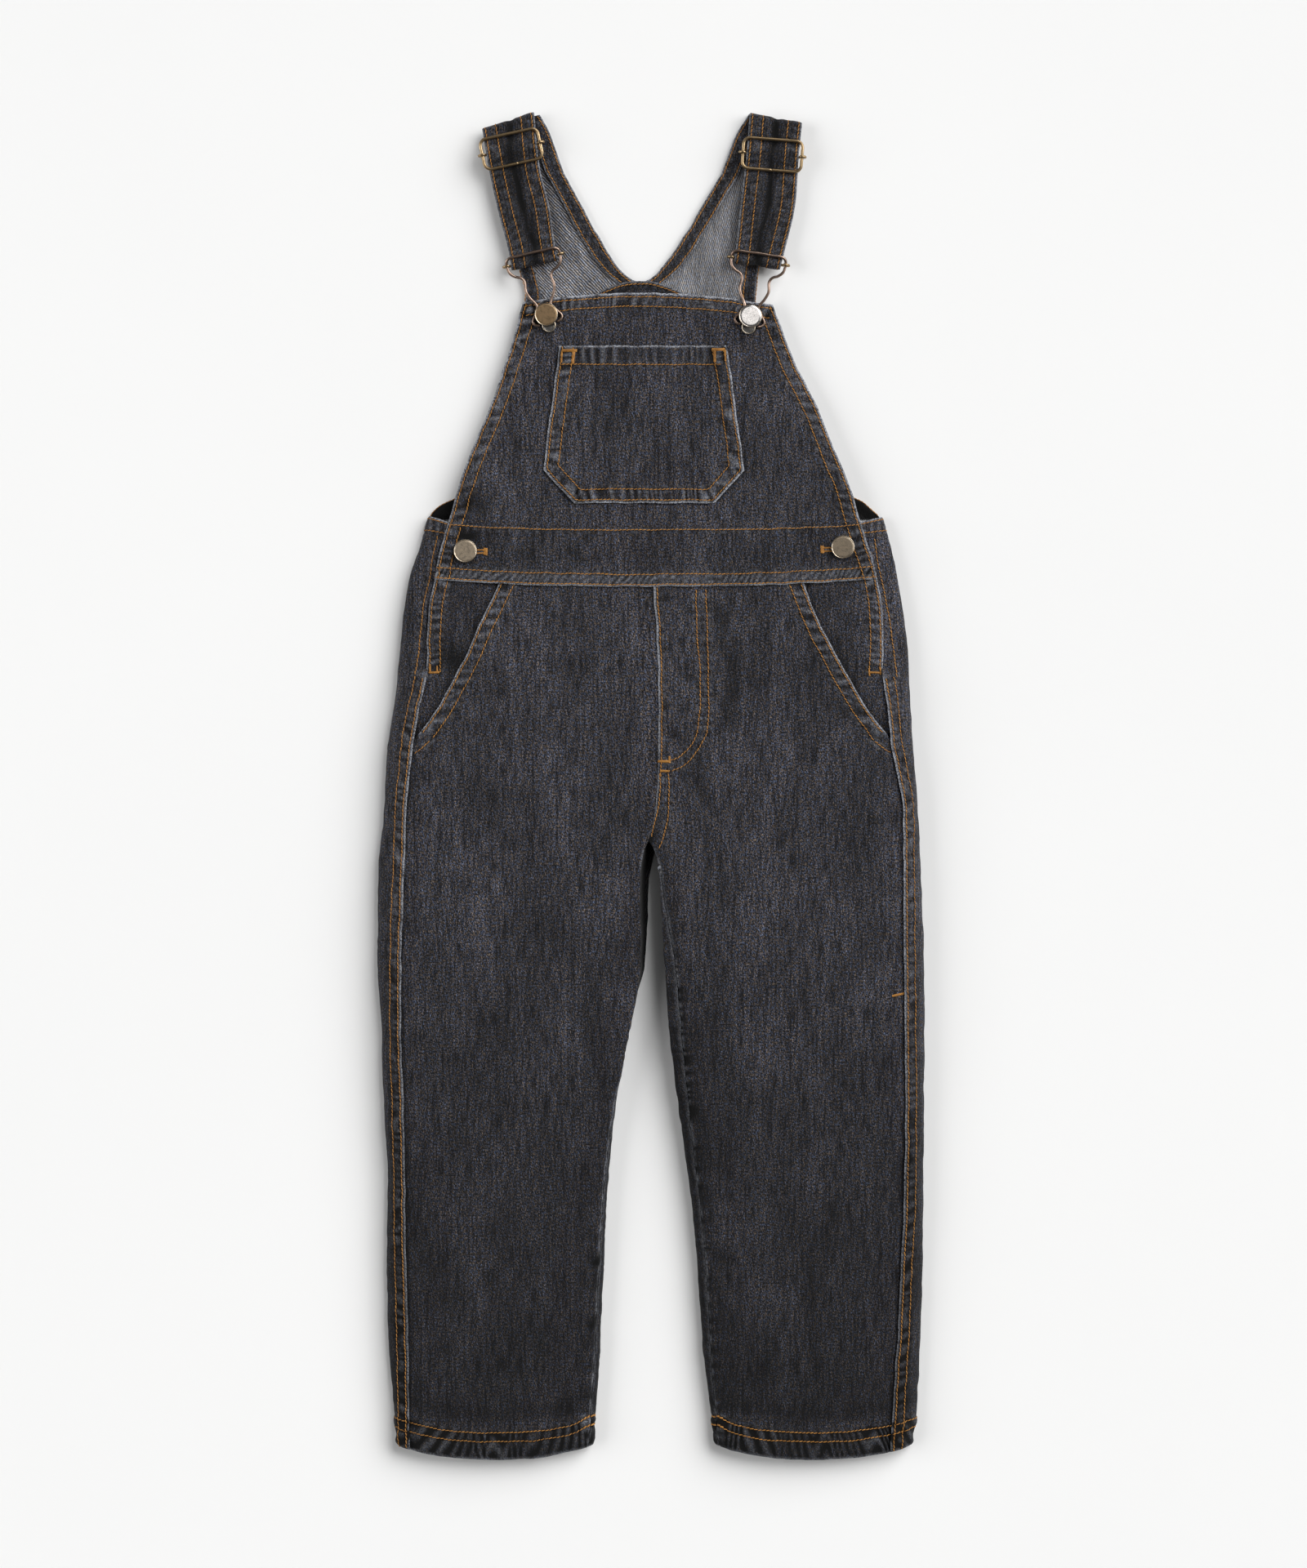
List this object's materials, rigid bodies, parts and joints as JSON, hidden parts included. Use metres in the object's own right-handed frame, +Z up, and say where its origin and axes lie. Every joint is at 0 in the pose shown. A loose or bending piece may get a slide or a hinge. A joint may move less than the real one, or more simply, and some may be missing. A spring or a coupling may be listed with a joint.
{
  "type": "bib dungarees",
  "caption": "Child's denim dungarees with a bib pocket, laid flat: straps go through wire sliders and hook onto the bib, and the buttoned waist and both legs lie closed.",
  "frame": {"origin": "on the surface the garment lies on, under the centre of its outline", "axes": "+Y towards the straps, +X to the viewer's right, +Z up out of the surface"},
  "size_m": [0.334, 0.8244, 0.0181],
  "materials": {
    "denim": "dark washed twill with orange stitching, soft and dull",
    "denim_wrong_side": "pale inside of the twill, grey-blue with dark slanting lines",
    "slider_brass": "drawn wire, semi-bright",
    "hook_wire": "drawn wire, copper-grey, semi-bright",
    "button_metal": "turned and antiqued, satin face and bright rim"
  },
  "bodies": {
    "root": {"back_leg_left": "denim", "back_leg_right": "denim", "front_leg_left": "denim", "front_leg_right": "denim", "pocket_facing_left": "denim", "pocket_facing_right": "denim", "waistband": "denim", "bib": "denim", "bib_pocket": "denim", "back_bib": "denim_wrong_side", "neck_facing_left": "denim", "neck_facing_right": "denim", "armhole_hem_left": "denim", "armhole_hem_right": "denim", "back_cross": "denim", "strap_left": "denim", "strap_right": "denim", "slider_left": "slider_brass", "slider_right": "slider_brass", "slider_bar_left": "slider_brass", "slider_bar_right": "slider_brass", "hook_left": "hook_wire", "hook_right": "hook_wire", "hook_bar_left": "hook_wire", "hook_bar_right": "hook_wire", "hook_plate_left": "hook_wire", "hook_plate_right": "hook_wire", "bib_button_left": "button_metal", "bib_button_right": "button_metal", "side_button_left": "button_metal", "side_button_right": "button_metal"}
  },
  "joints": []
}
